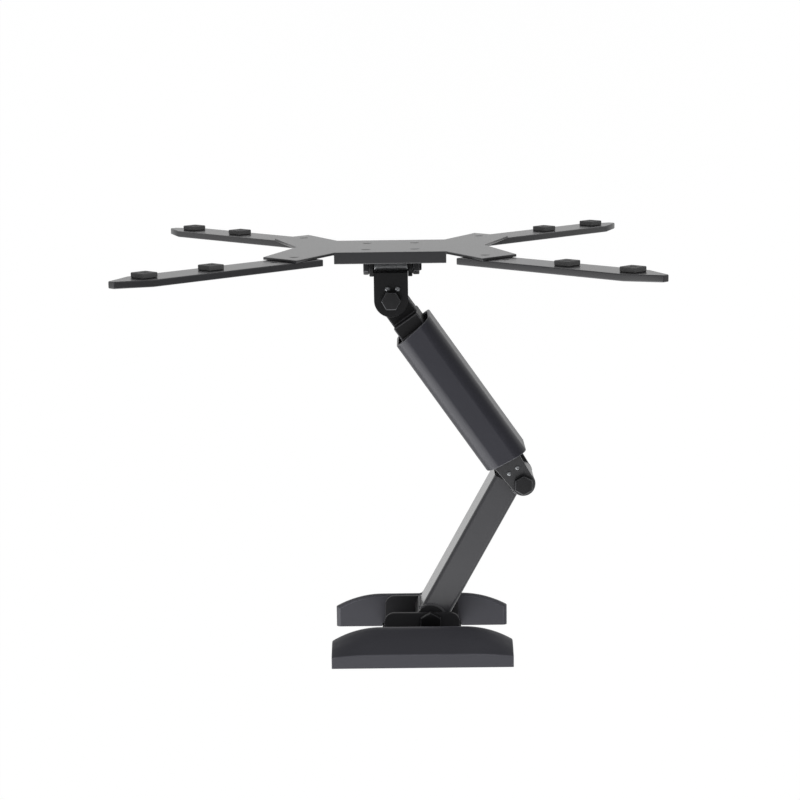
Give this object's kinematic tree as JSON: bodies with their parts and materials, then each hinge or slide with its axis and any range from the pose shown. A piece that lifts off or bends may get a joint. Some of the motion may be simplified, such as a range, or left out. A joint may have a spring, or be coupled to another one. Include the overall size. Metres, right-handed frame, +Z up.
{
  "type": "full-motion tv wall mount",
  "caption": "Cantilever television wall mount: covered wall plate, two-part swinging arm, swivel and tilt head, waisted plate with diagonal extension bars.",
  "frame": {"origin": "centre of the wall plate's back face, on the wall", "axes": "+Z up as installed, +Y into the wall, X along the wall; the room lies towards -Y"},
  "size_m": [0.4532, 0.3784, 0.4532],
  "materials": {
    "black_steel": "black satin powder coat on pressed steel",
    "dark_bolt": "blackened steel fasteners",
    "nylon": "black nylon",
    "pad_rubber": "matt black rubber",
    "cover_plastic": "moulded charcoal plastic, fine texture",
    "shell_aluminium": "extruded aluminium, charcoal satin paint",
    "zinc": "bright zinc plate"
  },
  "bodies": {
    "wall_frame": {"wall_plate": "black_steel", "upper_cover": "cover_plastic", "lower_cover": "cover_plastic", "hinge_bracket": "black_steel", "pivot_bolt": "dark_bolt"},
    "lower_arm": {"lower_arm_tube": "black_steel", "tube_plug": "cover_plastic", "pivot_barrel": "black_steel", "elbow_barrel": "black_steel"},
    "upper_arm": {"upper_arm_shell": "shell_aluminium", "upper_arm_channel": "black_steel", "head_link": "black_steel", "elbow_bolt": "dark_bolt"},
    "head": {"head_block": "black_steel", "swivel_bolt": "dark_bolt", "tilt_barrel": "zinc"},
    "tv_plate": {"tilt_bracket": "black_steel", "tilt_bolt": "dark_bolt", "centre_plate": "black_steel", "upper_left_bar": "black_steel", "upper_right_bar": "black_steel", "lower_left_bar": "black_steel", "lower_right_bar": "black_steel", "upper_left_pads": "pad_rubber", "upper_right_pads": "pad_rubber", "lower_left_pads": "pad_rubber", "lower_right_pads": "pad_rubber"}
  },
  "joints": [
    {"name": "wall_pivot", "type": "hinge", "parent": "wall_frame", "child": "lower_arm", "pos_m": [-0.008, -0.0285, 0], "axis": [0, 0, -1], "range_deg": [-89, 31]},
    {"name": "elbow", "type": "hinge", "parent": "lower_arm", "child": "upper_arm", "pos_m": [-0.09441, -0.1584, 0], "axis": [0, 0, 1], "range_deg": [-180, 10]},
    {"name": "head_swivel", "type": "hinge", "parent": "upper_arm", "child": "head", "pos_m": [0.0249, -0.32878, 0], "axis": [0, 0, -1], "range_deg": [-109, 41]},
    {"name": "tilt", "type": "hinge", "parent": "head", "child": "tv_plate", "pos_m": [0.0249, -0.35728, 0], "axis": [1, 0, 0], "range_deg": [-5, 15]}
  ]
}
